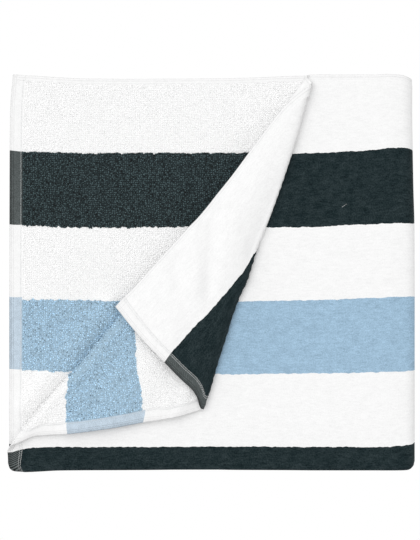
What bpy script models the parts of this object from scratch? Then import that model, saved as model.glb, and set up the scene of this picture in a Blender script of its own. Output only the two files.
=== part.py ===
"""Beach towel in wide stripes, folded once along its length and twice across it.

The cloth is one sheet. It is folded in half lengthwise, which puts both selvedges on the
far edge and the first fold on the near edge, and then twice crosswise, which makes eight
layers. The near-left corner of the top layer is turned back in a pleat: it rolls over
once along a slanting line, which shows the looped face, and once more, which shows the
sheared face again.

The frame is in metres, +Z up, with the origin under the middle of the folded towel. The
hems are on the left (-X), the folds that close the stack on the right (+X), the selvedges
on the far side (+Y) and the lengthwise fold on the near side (-Y).
"""

import math
from collections import namedtuple

import bmesh
import bpy
from mathutils import Vector

MM = 0.001

# The cloth, in millimetres
TOWEL_WIDTH = 900.0
HALF_WIDTH = TOWEL_WIDTH / 2
TOWEL_LENGTH = 1820.0
THICKNESS = 2.5
PITCH = 3.3  # from the middle of one layer to the middle of the next
HEM_WIDTH = 14.0
COLLECTION = "beach_towel"

# Where the stack turns, in millimetres
RIGHT_TURN_X = 219.0  # axis of the two nested folds on the right
LEFT_TURN_X = -219.5  # axis of the nested folds on the left
FIRST_RUN = 449.8  # from the hem of the top layers to the right folds
NEAR_FOLD_Y = -223.7  # middle of the cloth at the lengthwise fold
LAYERS = 8
OUTER_TURN = 3 * PITCH  # radius of the path round the right side of the stack
INNER_TURN = PITCH

# Stripes of one half, from the selvedge to the middle of the towel
STRIPES = (
    # colour, where it ends (mm from the selvedge)
    ("white", 87.0),
    ("charcoal", 170.0),
    ("white", 254.5),
    ("blue", 337.5),
    ("white", 421.0),
    ("charcoal", 450.0),
)
COLOURS = {
    # linear colour, roughness
    "white": ((0.91, 0.91, 0.90), 0.95),
    "charcoal": ((0.020, 0.031, 0.034), 0.95),
    "blue": ((0.33, 0.50, 0.68), 0.95),
}

# How the near fold and the selvedges lie, in millimetres. near: how far up the near fold
# lies; top_far, others_far: how far up the selvedges of the top layer and of the others lie;
# drift: how far the upper half has slipped towards the near side.
Edge = namedtuple("Edge", "x near top_far others_far drift")
EDGES = (
    Edge(-232.0, -1.2, 0.0, -2.5, 2.6),
    Edge(-216.0, -2.3, 0.0, -3.0, 2.6),
    Edge(-171.0, -0.6, 0.0, -7.5, 2.6),
    Edge(-80.0, 0.0, 0.0, -9.3, 2.6),
    Edge(15.0, 0.1, 0.0, -8.7, 2.6),
    Edge(79.0, 0.3, 0.0, -6.7, 2.5),
    Edge(112.0, 0.1, -0.6, -6.0, 2.1),
    Edge(142.0, 0.0, -1.3, -5.0, 1.2),
    Edge(190.0, 0.0, -3.2, -5.0, -0.6),
    Edge(216.0, 0.1, -5.0, -7.0, -1.0),
    Edge(232.0, 0.6, -10.0, -11.0, -1.0),
)
LOWER_STEP = 0.8  # how much further out the upper half's lower layers end
SLACK_POWER = 4  # the selvedges' slack gathers in the last part of the width
DRIFT_REACH = 30.0  # how far from the near fold the upper half has slipped all the way

# How far to the right the left and right sides stand, in millimetres
Side = namedtuple("Side", "y left right")
SIDES = (
    Side(-226.0, -0.9, 0.4),
    Side(-170.0, 0.0, 0.4),
    Side(-30.0, 0.0, 0.4),
    Side(55.0, 0.2, -0.1),
    Side(93.0, 0.3, -1.7),
    Side(138.0, 0.5, -3.0),
    Side(181.0, 1.0, -3.3),
    Side(226.0, 4.4, -3.7),
)
LOWEST_SHARE = 0.35  # how much of the right side's unevenness the lowest layer has
OUTER_SIDE = 231.5  # the sides' distance from the middle
NEAR_EDGE = -225.2
MIDDLE_X, MIDDLE_Y = 0.5, -0.8  # middle of the outline in these tables, where the origin goes
CORNER_LEFT = 32.0  # radius of the near corners
CORNER_RIGHT = 45.0
CORNER_REACH = 90.0  # how far the rounding fades into the stack
ROUNDEST = 0.45  # share of the quarter circle that is used, so the folds aren't pinched
HEM_SKEW = 13.6  # how much further the top half's hem reaches at its selvedge
CROWN = 0.05  # how much thicker the stack is in its middle
CROWN_SPAN = 470.0  # where the crown has run out, across the stack

# The turned-back corner of the top layer
SMALL_ROLL = 2.5  # radius of both rolls where they meet the selvedge
ROLL_GAP = 1.742  # cloth between the two rolls
PLEAT_X = 112.5  # where the first roll leaves the flat cloth at the selvedge
# hem: place on the hem, from the selvedge; x, y: where it lies; rise: height over the top
# layer; foot: where its line meets the selvedge, from the pleat's free side
Line = namedtuple("Line", "hem x y rise foot")
FLAP = (
    Line(0.0, -107.1, -39.5, 12.5, 0.0),
    Line(45.0, -79.3, -70.9, 12.5, 0.0),
    Line(87.0, -52.8, -102.0, 14.5, 0.1),
    Line(118.0, -33.7, -123.4, 19.8, 0.3),
    Line(132.0, -25.2, -131.4, 22.2, 0.8),
    Line(143.0, -18.6, -139.0, 22.6, 1.6),
    Line(151.0, -14.9, -145.4, 20.4, 2.6),
    Line(158.5, -13.4, -150.9, 16.0, 3.7),
    Line(164.5, -11.2, -155.0, 11.6, 4.8),
    Line(169.5, -8.2, -156.6, 7.8, 6.0),
    Line(173.5, -8.9, -157.8, 4.9, 6.9),
    Line(179.0, -13.9, -158.9, 4.2, 7.4),
    Line(195.0, -27.0, -161.6, 6.0, 7.8),
    Line(215.0, -43.9, -165.2, 12.0, 8.2),
    Line(235.0, -60.2, -168.6, 13.0, 8.6),
    Line(254.5, -78.8, -171.8, 8.5, 9.0),
    Line(296.0, -122.2, -180.0, 7.0, 9.4),
    Line(337.5, -165.3, -185.4, 9.0, 9.8),
    Line(364.0, -187.6, -187.3, 12.0, 10.0),
    Line(384.0, -204.0, -188.9, 11.6, 10.2),
    Line(396.0, -217.0, -190.8, 10.0, 10.8),
    Line(402.3, -222.9, -192.4, 8.5, 12.3),
    Line(408.5, -227.6, -195.2, 5.0, 14.1),
    Line(415.0, -230.5, -199.8, 1.5, 15.9),
    Line(421.0, -231.68, -206.25, 0.0, 17.45),
)
PUCKER = -7.0  # how far the hem is drawn down where the pleat starts
PUCKER_REACH = 24.0
PUCKER_SIDES = (22.0, 26.0)  # how far it runs along the hem, towards the selvedge and away

# Modelling steps
RUN_STEP = 92.0
NEAR_FOLD_STEPS = 6
TURN_STEPS = {OUTER_TURN: 10, INNER_TURN: 8}
PROBE = 0.3  # millimetres on the sheet over which its slope is read
SHARP = 50.0  # degrees between faces, over which an edge is shaded sharp
STEEP = 2.0  # rise, or half of it along the pleat, that calls for a line between two rows
HALVINGS = 26  # steps in which the line through a place is found
WELD = 1e-4


def clamp(value, low=0.0, high=1.0):
    return max(low, min(high, value))


def ease(value):
    """0 to 1, with no slope at either end."""
    value = clamp(value)
    return value * value * (3 - 2 * value)


def rate(low, high, column):
    return (getattr(high, column) - getattr(low, column)) / (high[0] - low[0])


def slope_at(table, i, column):
    """The slope of a column's curve at a row, so that the curve never swings past its rows."""
    before = rate(*table[max(i - 1, 0) : max(i - 1, 0) + 2], column)
    after = rate(*table[min(i, len(table) - 2) :][:2], column)
    return 2 * before * after / (before + after) if before * after > 0 else 0.0


def read(table, place, column):
    """One column of a table at a place in its first column, on a smooth curve through the rows."""
    place = clamp(place, table[0][0], table[-1][0])
    i = next(k for k in range(len(table) - 1) if table[k + 1][0] >= place)
    here, there = table[i], table[i + 1]
    span = there[0] - here[0]
    t = (place - here[0]) / span
    start, end = (span * slope_at(table, k, column) for k in (i, i + 1))
    eased = ease(t)
    return (
        (1 - eased) * getattr(here, column)
        + eased * getattr(there, column)
        + (t**3 - 2 * t**2 + t) * start
        + (t**3 - t**2) * end
    )


def sections():
    """The path of the doubled cloth: (kind, length or radius, way it turns), from the top hem."""
    middle = RIGHT_TURN_X - LEFT_TURN_X
    turns = math.pi * (OUTER_TURN + 2 * INNER_TURN)
    last = TOWEL_LENGTH - FIRST_RUN - 2 * middle - turns
    return (
        ("run", FIRST_RUN, 0),
        ("turn", OUTER_TURN, -1),
        ("run", middle, 0),
        ("turn", INNER_TURN, -1),
        ("run", middle, 0),
        ("turn", INNER_TURN, 1),
        ("run", last, 0),
    )


def section_length(kind, size):
    return size if kind == "run" else math.pi * size


def walk(u):
    """(x, z, normal x, normal z) of the doubled cloth's middle, at a distance u from the hem."""
    x = RIGHT_TURN_X - FIRST_RUN
    z = THICKNESS / 2 + (LAYERS - 1.5) * PITCH
    heading = 0.0
    left = u
    parts = sections()
    for i, (kind, size, way) in enumerate(parts):
        length = section_length(kind, size)
        step = left if i == len(parts) - 1 or left < length else length
        if kind == "run":
            x += step * math.cos(heading)
            z += step * math.sin(heading)
        else:
            angle = heading + way * step / size
            x += way * size * (math.sin(angle) - math.sin(heading))
            z -= way * size * (math.cos(angle) - math.cos(heading))
            heading = angle
        left -= step
        if left <= 0:
            break
    return x, z, -math.sin(heading), math.cos(heading)


def across(v):
    """(offset from the doubled cloth's middle, distance from the near fold, half) at a place v
    across the towel. The half is 1 on the top layer's side of the near fold, or -1."""
    half = 1 if v > HALF_WIDTH else -1
    along = abs(v - HALF_WIDTH)
    radius = PITCH / 2
    if along < math.pi / 2 * radius:
        angle = along / radius
        return half * radius * math.sin(angle), radius * (1 - math.cos(angle)), half
    return half * radius, radius + along - math.pi / 2 * radius, half


def lie_flat(u, v):
    """Where a place of the towel lies before its corner is turned back."""
    x, z, normal_x, normal_z = walk(u)
    offset, depth, half = across(v)
    x += offset * normal_x
    z += offset * normal_z
    y = NEAR_FOLD_Y + depth
    reach = clamp(depth / HALF_WIDTH)
    under = ease((u - FIRST_RUN) / (math.pi * OUTER_TURN))
    top_layer = (1 - under) if half > 0 else 0.0
    drift = read(EDGES, x, "drift")
    y += read(EDGES, x, "near") - half * drift * ease((depth - PITCH) / DRIFT_REACH)
    slack = top_layer * read(EDGES, x, "top_far") + (1 - top_layer) * read(EDGES, x, "others_far")
    if half > 0:
        # The lower layers of this half end as far in as those of the other half.
        slack += (1 - top_layer) * (2 * drift - LOWER_STEP)
    y += slack * reach**SLACK_POWER
    if half > 0 and u < PUCKER_REACH:
        from_middle = (TOWEL_WIDTH - v) - hem_end()
        width = PUCKER_SIDES[0] if from_middle < 0 else PUCKER_SIDES[1]
        y += PUCKER * (1 - clamp(u / PUCKER_REACH)) ** 2 * ease(1 - abs(from_middle) / width)
    return x, y, z


def hem_end():
    """Where on the hem, from the selvedge, the turned-back corner starts."""
    return FLAP[-1].hem


def hem_u(from_selvedge):
    """The top half's hem runs out to the left towards its selvedge."""
    return -HEM_SKEW * (1 - from_selvedge / HALF_WIDTH)


def left_end(v):
    """Where the first hem lies along the towel, at a place across it."""
    return min(0.0, hem_u(TOWEL_WIDTH - v)) if v > HALF_WIDTH else 0.0


def pleat_length():
    """How much of the selvedge the two rolls take up."""
    return 2 * math.pi * SMALL_ROLL + ROLL_GAP


def pleat_start():
    """Distance u where the free side of the turned-back corner meets the pleat."""
    return PLEAT_X - (RIGHT_TURN_X - FIRST_RUN) - pleat_length()


def pleat(foot):
    """(x, rise) on the selvedge's small S, at a distance foot from its free side."""
    left = pleat_length() - foot
    half_turn = math.pi * SMALL_ROLL
    if left < half_turn:
        angle = left / SMALL_ROLL
        return PLEAT_X - SMALL_ROLL * math.sin(angle), SMALL_ROLL * (1 - math.cos(angle))
    left -= half_turn
    if left < ROLL_GAP:
        return PLEAT_X + left, 2 * SMALL_ROLL
    angle = (left - ROLL_GAP) / SMALL_ROLL
    x = PLEAT_X + ROLL_GAP + SMALL_ROLL * math.sin(angle)
    return x, SMALL_ROLL * (3 - math.cos(angle))


def line_of(u, from_selvedge):
    """(hem place, share) of the straight line of the turned-back corner that a place is on.

    Each line runs from the selvedge, where its share is 0, to the hem, where it is 1."""
    low, high = 0.0, hem_end()
    for _ in range(HALVINGS):
        hem = (low + high) / 2
        start = pleat_start() + read(FLAP, hem, "foot")
        side = (hem_u(hem) - start) * from_selvedge - hem * (u - start)
        if side > 0:
            high = hem
        else:
            low = hem
    hem = (low + high) / 2
    start = pleat_start() + read(FLAP, hem, "foot")
    length = math.hypot(hem_u(hem) - start, hem)
    return hem, clamp(math.hypot(u - start, from_selvedge) / length)


def in_flap(u, v):
    """Whether a place of the sheet is on the turned-back corner."""
    from_selvedge = TOWEL_WIDTH - v
    start, end = pleat_start() + pleat_length(), hem_end()
    if u >= start or from_selvedge >= end:
        return False
    side = (hem_u(end) - start) * from_selvedge - end * (u - start)
    return side > 0


def turned_back(u, v):
    """Where a place of the turned-back corner lies."""
    hem, share = line_of(u, TOWEL_WIDTH - v)
    foot = read(FLAP, hem, "foot")
    x, y, z = lie_flat(u, v)
    foot_x, foot_rise = pleat(foot)
    flat_foot = lie_flat(pleat_start() + foot, TOWEL_WIDTH)
    flat_hem = lie_flat(hem_u(hem), TOWEL_WIDTH - hem)
    top = flat_foot[2]
    foot_y = lie_flat(PLEAT_X - (RIGHT_TURN_X - FIRST_RUN), TOWEL_WIDTH)[1]
    at_foot = (foot_x - flat_foot[0], foot_y - flat_foot[1], foot_rise)
    at_hem = (
        read(FLAP, hem, "x") - flat_hem[0],
        read(FLAP, hem, "y") - flat_hem[1],
        read(FLAP, hem, "rise"),
    )
    near, far = 1 - share, share
    x += near * at_foot[0] + far * at_hem[0]
    y += near * at_foot[1] + far * at_hem[1]
    return x, y, top + near * at_foot[2] + far * at_hem[2]


def drawn_in(distance, size):
    """How far an edge is drawn in at a distance from the corner, along an arc of that size."""
    share = clamp(1 - distance / size, 0, ROUNDEST)
    return size * (1 - math.sqrt(1 - share**2))


def round_corner(x, y, corner_x, size):
    """Draws both edges in at a near corner, without pressing the layers together."""
    side = math.copysign(1, corner_x)
    from_side = side * (corner_x - x)
    from_near = y - NEAR_EDGE
    x -= side * drawn_in(from_near, size) * ease(1 - from_side / CORNER_REACH)
    y += drawn_in(from_side, size) * ease(1 - from_near / CORNER_REACH)
    return x, y


def settle(x, y, z):
    """The uneven outline and the soft crown of the whole stack."""
    x, y = round_corner(x, y, -OUTER_SIDE, CORNER_LEFT)
    x, y = round_corner(x, y, OUTER_SIDE, CORNER_RIGHT)
    to_right = clamp((x / OUTER_SIDE + 1) / 2)
    height = clamp(z / (LAYERS * PITCH))
    right = read(SIDES, y, "right") * (LOWEST_SHARE + (1 - LOWEST_SHARE) * height)
    x += (1 - to_right) * read(SIDES, y, "left") + to_right * right
    middle = 1.0
    for place in (x, y):
        middle *= math.cos(math.pi * clamp(place / CROWN_SPAN, -0.5, 0.5))
    z += (z - THICKNESS / 2) * CROWN * middle
    return x - MIDDLE_X, y - MIDDLE_Y, z


def middle_of_cloth(u, v):
    """Where the middle of the cloth lies at a place of the flat towel, in millimetres."""
    where = turned_back(u, v) if in_flap(u, v) else lie_flat(u, v)
    return Vector(settle(*where))


def bend(u, v, height):
    """Where a point of the flat towel lies, at a height over the middle of the cloth."""
    along = middle_of_cloth(u + PROBE, v) - middle_of_cloth(max(u - PROBE, left_end(v)), v)
    low, high = max(v - PROBE, 0), min(v + PROBE, TOWEL_WIDTH)
    over = middle_of_cloth(u, high) - middle_of_cloth(u, low)
    return middle_of_cloth(u, v) + height * along.cross(over).normalized()


def length_cuts():
    """Distances from the hem where the flat sheet is cut: the hems, and steps round each fold."""
    cuts = [HEM_WIDTH, TOWEL_LENGTH - HEM_WIDTH, pleat_start() + pleat_length()]
    start = 0.0
    for kind, size, _ in sections():
        length = section_length(kind, size)
        steps = round(length / RUN_STEP) if kind == "run" else TURN_STEPS[size]
        cuts += [start + length * k / steps for k in range(steps)]
        start += length
    return sorted(cuts)[1:]


def width_cuts():
    """Places across the towel where the flat sheet is cut: the stripes, and steps round the fold."""
    arc = math.pi / 2 * PITCH / 2
    steps = NEAR_FOLD_STEPS
    cuts = [HALF_WIDTH - arc + 2 * arc * k / steps for k in range(steps + 1)]
    for _, end in STRIPES[:-1]:
        cuts += [end, TOWEL_WIDTH - end]
    return sorted(cuts)


def flap_lines():
    """Places on the hem where the straight lines of the turned-back corner are cut."""
    lines = []
    for here, there in zip(FLAP, FLAP[1:]):
        turn = max(abs(there.rise - here.rise), 2 * (there.foot - here.foot))
        steps = 1 if turn < STEEP else 2
        lines += [here.hem + (there.hem - here.hem) * k / steps for k in range(1, steps + 1)]
    return lines


def cut(sheet, point, normal):
    everything = sheet.verts[:] + sheet.edges[:] + sheet.faces[:]
    bmesh.ops.bisect_plane(sheet, geom=everything, dist=WELD, plane_co=point, plane_no=normal)


def flat_sheet():
    """The towel laid out flat, in millimetres, cut where it will bend."""
    sheet = bmesh.new()
    bmesh.ops.create_grid(sheet, x_segments=1, y_segments=1, size=0.5)
    bmesh.ops.translate(sheet, verts=sheet.verts, vec=(0.5, 0.5, 0))
    bmesh.ops.scale(sheet, verts=sheet.verts, vec=(TOWEL_LENGTH, TOWEL_WIDTH, 1))
    cut(sheet, (0, HALF_WIDTH, 0), (0, 1, 0))
    skewed = [vert for vert in sheet.verts if vert.co.y > HALF_WIDTH + WELD]
    bmesh.ops.translate(sheet, verts=skewed, vec=(-HEM_SKEW, 0, 0))
    for u in length_cuts():
        cut(sheet, (u, 0, 0), (1, 0, 0))
    for v in width_cuts():
        cut(sheet, (0, v, 0), (0, 1, 0))
    for hem in flap_lines():
        start = pleat_start() + read(FLAP, hem, "foot")
        cut(sheet, (start, TOWEL_WIDTH, 0), (hem, hem_u(hem) - start, 0))
    bmesh.ops.triangulate(sheet, faces=sheet.faces)
    for face in sheet.faces:
        face.material_index = list(COLOURS).index(stripe_of(face.calc_center_median().y))
    bmesh.ops.solidify(sheet, geom=sheet.faces[:], thickness=THICKNESS)
    bmesh.ops.recalc_face_normals(sheet, faces=sheet.faces)
    return sheet


def stripe_of(v):
    from_selvedge = min(v, TOWEL_WIDTH - v)
    return next(name for name, end in STRIPES if from_selvedge < end + WELD)


def make_material(name):
    colour, roughness = COLOURS[name]
    material = bpy.data.materials.new(f"{name} cotton")
    material.use_nodes = True
    shader = material.node_tree.nodes["Principled BSDF"]
    shader.inputs["Base Color"].default_value = (*colour, 1)
    shader.inputs["Roughness"].default_value = roughness
    shader.inputs["Metallic"].default_value = 0
    material.diffuse_color = (*colour, 1)
    return material


def make_towel(collection):
    sheet = flat_sheet()
    middle = sum(vert.co.z for vert in sheet.verts) / len(sheet.verts)
    for vert in sheet.verts:
        vert.co = MM * bend(vert.co.x, vert.co.y, vert.co.z - middle)
    for face in sheet.faces:
        face.smooth = True
    mesh = bpy.data.meshes.new("towel")
    sheet.to_mesh(mesh)
    sheet.free()
    towel = bpy.data.objects.new("towel", mesh)
    collection.objects.link(towel)
    for name in COLOURS:
        mesh.materials.append(make_material(name))
    mesh.set_sharp_from_angle(angle=math.radians(SHARP))
    return towel


def main():
    for thing in list(bpy.data.objects):
        bpy.data.objects.remove(thing)
    collection = bpy.data.collections.new(COLLECTION)
    bpy.context.scene.collection.children.link(collection)
    make_towel(collection)


main()
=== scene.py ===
"""Looks of a folded beach towel: cotton with a sheared velour face and a looped terry face.

The towel is cut and folded here as in the CAD part, from one flat sheet with finer steps, so that
every stripe, hem, selvedge and loop stays where it is woven. Lengths are in millimetres, and
become metres as each mesh is written. A place on the flat towel has two numbers: u, along it from
the first hem, and v, across it from one selvedge.
"""

import math
from collections import namedtuple

import bmesh
import bpy
import numpy as np
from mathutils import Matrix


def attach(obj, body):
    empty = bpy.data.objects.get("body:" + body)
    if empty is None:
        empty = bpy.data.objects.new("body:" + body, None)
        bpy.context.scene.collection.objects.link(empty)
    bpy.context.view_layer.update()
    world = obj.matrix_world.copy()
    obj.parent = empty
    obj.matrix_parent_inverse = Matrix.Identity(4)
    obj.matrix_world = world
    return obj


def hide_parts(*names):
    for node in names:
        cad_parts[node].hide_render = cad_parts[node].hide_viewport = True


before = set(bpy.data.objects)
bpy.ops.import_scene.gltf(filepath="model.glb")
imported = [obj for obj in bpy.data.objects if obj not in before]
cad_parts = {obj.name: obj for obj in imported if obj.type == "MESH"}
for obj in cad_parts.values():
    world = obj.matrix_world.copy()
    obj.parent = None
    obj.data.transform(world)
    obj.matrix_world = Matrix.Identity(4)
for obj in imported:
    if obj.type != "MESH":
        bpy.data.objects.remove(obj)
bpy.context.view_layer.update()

bl_info = {
    "name": "Folded Beach Towel",
    "version": (1, 0, 0),
    "blender": (4, 5, 0),
    "location": "3D View > Sidebar > Towel",
    "description": "Builds a folded striped beach towel with its hems, loops and stitching",
    "category": "Add Mesh",
}

MM = 0.001
ROOT = "root"
CAD_NODE = "towel"


def table(columns, *rows):
    """Rows of numbers under named columns."""
    row = namedtuple("Row", columns)
    return tuple(row(*values) for values in rows)


# ---------------------------------------------------------------- the cloth and its fold, in mm

PITCH = 3.3  # from the middle of one layer to the middle of the next
LAYERS = 8
RIGHT_TURN_X = 219.0  # axis of the two nested folds on the right
LEFT_TURN_X = -219.5  # axis of the nested folds on the left
FIRST_RUN = 449.8  # from the hem of the top layers to the right folds
NEAR_FOLD_Y = -223.7  # middle of the cloth at the lengthwise fold
OUTER_TURN = 3 * PITCH  # radius of the path round the right side of the stack
INNER_TURN = PITCH
FLOOR_GAP = 1.25  # from the floor to the middle of the lowest layer

# Stripes of one half, from the selvedge to the middle. Loops lean over a stripe's edge, so the
# terry face shows some edges further out.
STRIPES = table(
    "colour velour terry",
    ("white", 87, 87.5),
    ("charcoal", 170, 171.8),
    ("white", 254.5, 256.7),
    ("blue", 337.5, 339),
    ("white", 421, 422),
    ("charcoal", 452, 452),
)

# How the near fold and the selvedges lie. near: how far up the near fold lies; top_far,
# others_far: how far up the selvedges of the top layer and of the others lie; drift: how far
# the upper half has slipped towards the near side.
EDGES = table(
    "x near top_far others_far drift",
    (-232, -1.2, 0, -5, 2.6),
    (-216, -2.3, 0, -5.6, 2.6),
    (-171, -0.6, 0, -9, 2.6),
    (-80, 0, 0, -10.2, 2.6),
    (15, 0.1, 0, -9.6, 2.6),
    (79, 0.3, 0.6, -7.6, 2.5),
    (112, 0.5, 1.2, -5.6, 2.1),
    (142, 0.6, 1.6, -3.4, 1.2),
    (190, 0.6, -0.6, -2.6, -0.6),
    (216, 0.8, -1.6, -3.8, -1),
    (232, 1.4, -5.6, -7, -1),
)
LOWER_STEP = 0.8  # how much further out the upper half's lower layers end
SLACK_POWER = 4  # the selvedges' slack gathers in the last part of the width

# How much further up the edges of the stripes lie in the two layers that show. SLIP_PLACES says
# how far each column's edge is from the selvedge, which is the free edge.
SLIP_PLACES = {
    "selvedge": 0.0,
    "first": 87.0,
    "second": 170.0,
    "third": 254.5,
    "fourth": 337.5,
    "fifth": 421.0,
    "fold": 450.0,
}
SLIP_COLUMNS = ("x", *SLIP_PLACES)
TOP_SLIPS = table(
    SLIP_COLUMNS,
    (-226, 0, 0, 0, 0, 0, 1.4, 0),
    (-205, 0, 0, 0, 0, 0, 2.2, 0.2),
    (-171, 0, 0, 0, 0, 0, 1.6, 0.3),
    (-126, 0, 0, 0, 0, 0, 1, 0.2),
    (-12, 0, -1, -1, -1, -0.6, 1.4, 0.8),
    (45, 0, -1.4, -2, -1, -0.9, 1.3, 0.3),
    (84, -0.8, -1.7, -2.3, -0.7, -0.6, 0.7, 0),
    (118, -1.9, -2, -2.6, -0.7, -0.9, -0.1, -0.5),
    (152, -3.3, -1.9, -2, -1.1, -1.8, -1, -0.6),
    (186, -2.8, -0.3, -1.5, -0.8, -2.4, -2.5, -0.6),
    (203, -2, 1.4, -1, -0.6, -2.2, -2.5, -0.7),
    (215, -2.2, 2.2, -0.9, -0.2, -2.2, -1.7, -0.8),
    (224, -2.2, 2.6, -1.1, -0.2, -1.8, -1.1, -0.8),
)
SECOND_SLIPS = table(
    SLIP_COLUMNS,
    (-226, 2.5, 1.2, -1.5, 0.3, 1.2, 0.4, 0),
    (-205, 2.6, 0.6, -0.3, 1.6, 1.5, 0.4, 0.2),
    (-182, 2, -0.1, -2.3, 0.2, -0.4, 0.2, 0.3),
    (-148, 0.9, -1.1, -3.9, -0.8, -0.8, 0, 0.3),
    (-110, 0.8, -1.3, -4.1, -2.2, -1.5, 0, 0.2),
    (-58, 0.9, -1.1, -3.7, -2, -1.5, 0, 0.4),
    (27, 0.8, -1.5, -3, -2, -1, 0, 0.4),
    (79, 0.9, -1.5, -2.5, -1.5, -1, 0, 0),
    (118, -0.4, -1.5, -2, -1.5, -1, -0.4, -0.5),
    (152, -1.6, -1.5, -1.5, -1, -1, -0.6, -0.6),
    (224, -2.2, -1, -1, -1, -1, -0.8, -0.8),
)
SET_BACK = 2.6  # how much further in the hem of the layers under the top one lies
SET_BACK_FROM_FOLD = 45.0  # how far from the lengthwise fold it lies so
DRIFT_REACH = 30.0  # how far from the near fold the upper half has slipped all the way

# How much further to the right than a straight line the left and right sides stand
SIDES = table(
    "y left right",
    (-226, 0.8, 0.5),
    (-207, 1.4, 0.5),
    (-190, 0.3, 0.5),
    (-170, 0, 0.5),
    (-30, 0, 0.5),
    (55, 0.2, 0),
    (93, 0.3, -1.6),
    (138, 0.5, -2.9),
    (181, 1, -3.9),
    (226, 4.4, -3.6),
)
LOWEST_SHARE = 0.35  # how much of the right side's unevenness the lowest layer has
OUTER_SIDE = 231.5  # the sides' distance from the middle
NEAR_EDGE = -225.2
MIDDLE_X, MIDDLE_Y = 0.5, -0.8  # middle of the outline in these tables, where the origin goes
CORNER_LEFT = 5.0  # radius of the near corners
CORNER_RIGHT = 7.0
CORNER_REACH = 90.0  # how far the rounding fades into the stack
ROUNDEST = 0.92  # share of the quarter circle that is used
SIDE_DROP = 0.15  # how much thinner the stack is at its right side
SIDE_DROP_FROM, SIDE_DROP_TO = 198.0, 233.0
NEAR_DROP = 0.15  # and at its near side
NEAR_DROP_FROM, NEAR_DROP_TO = -170.0, -226.0
NEAR_LEFT_DROP = 0.24  # and towards the left end of that side
NEAR_LEFT_FROM, NEAR_LEFT_TO = -60.0, -140.0
CROWN = 0.05  # how much thicker the stack is in its middle
CROWN_SPAN = 470.0  # where the crown has run out, across the stack
HEM_SKEW = 13.6  # how much further the top half's hem reaches at its selvedge
SKEW_FROM, SKEW_TO = 20.0, 110.0  # where along the towel the slant of the hem fades out

# The turned-back corner of the top layer. hem: place on the hem, from the selvedge; x, y: where
# it lies; rise: height over the top layer; foot: where its line meets the selvedge; pinch: how
# much the cloth is pushed together at the hem, so that the hem looks narrower.
SMALL_ROLL = 2.5  # radius of both rolls where they meet the selvedge
ROLL_GAP = 1.742  # between the two rolls there
PLEAT_X = 112.5  # where the first roll leaves the flat cloth at the selvedge
FLAP = table(
    "hem x y rise foot pinch",
    (0, -107.4, -38.9, 12, 0, 0),
    (45, -80.1, -72.2, 17, 0, 0),
    (87, -52.8, -100.4, 20.5, 0.1, 0),
    (118, -31.9, -122, 17.6, 0.3, 0),
    (132, -21.8, -131.4, 14.9, 0.8, 0),
    (143, -16.2, -139.4, 12.6, 1.6, 0),
    (151, -13.8, -145.4, 10.9, 2.6, 0),
    (158.5, -12.6, -150.6, 9.1, 3.7, 0),
    (164.5, -10.5, -154.4, 7.6, 4.8, 0),
    (169.5, -8.3, -154.5, 6.2, 6, 0),
    (173.5, -9.7, -155, 4.6, 6.9, 0),
    (179, -14.1, -156.3, 4.2, 7.4, 0.05),
    (195, -26.5, -159.9, 6, 7.8, 0.1),
    (215, -42.1, -163.8, 9, 8.2, 0.1),
    (235, -57.3, -166.6, 6.8, 8.6, 0.14),
    (254.5, -77.1, -169.6, 6.8, 9, -0.1),
    (296, -121.6, -177.4, 10, 9.4, 0),
    (337.5, -163.6, -182.6, 8.4, 9.8, 0.12),
    (364, -185.8, -184, 5.2, 10, 0.16),
    (384, -201.6, -185, 5.2, 10.2, 0.14),
    (396, -214.1, -189.3, 6.3, 10.8, 0.1),
    (402.3, -219.8, -192.4, 6.6, 12.3, 0.1),
    (408.5, -226.9, -195.2, 6.2, 14.1, 0.05),
    (415, -230.5, -199.8, 3.6, 15.9, 0),
    (421, -231.68, -206.25, 0, 17.45, 0),
)
# How far the free selvedge and the second roll stray to the right of a straight line, along
# their length from the far side, where share is 0, to the hem
STRAYS = table(
    "share selvedge roll",
    (0, 0, 0),
    (0.1, -1.8, 3.6),
    (0.22, 1.5, 5.9),
    (0.32, 4.7, 5.5),
    (0.46, 8.3, 2.2),
    (0.6, 9.1, -3.9),
    (0.67, 7.4, -7.2),
    (0.72, 6.2, -6.6),
    (0.78, 5.1, -3.6),
    (0.85, 3.3, -2.3),
    (0.93, 1.5, -1),
    (1, 0, 0),
)
# How far to the right the edges of the stripes stray on the turned-back corner, in the same way.
# The others stay where they are.
CORNER_SLIPS = table(
    "share first third fourth",
    (0, 0, 0, 0),
    (0.5, 0.3, 1.5, 0),
    (0.58, 3.6, 4, 0),
    (0.63, 6.2, 6, 0),
    (0.7, 5.3, 8.2, 0),
    (0.74, 4.2, 11.4, 0.6),
    (0.77, 3.3, 12.5, 4.6),
    (0.8, 2, 12.1, 7.8),
    (0.83, 0.7, 11.9, 4.6),
    (0.86, -0.7, 12.2, 1),
    (0.88, -1.6, 12.3, -2.2),
    (0.9, -2.3, 11.5, -1.6),
    (0.92, -2.6, 10.1, -0.1),
    (0.94, -2.6, 8, 0.8),
    (0.97, -1.2, 5.2, -0.6),
    (1, 0, 1, -0.4),
)
CORNER_SLIP_END = 20.0  # how close to the last line these fade out
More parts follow.
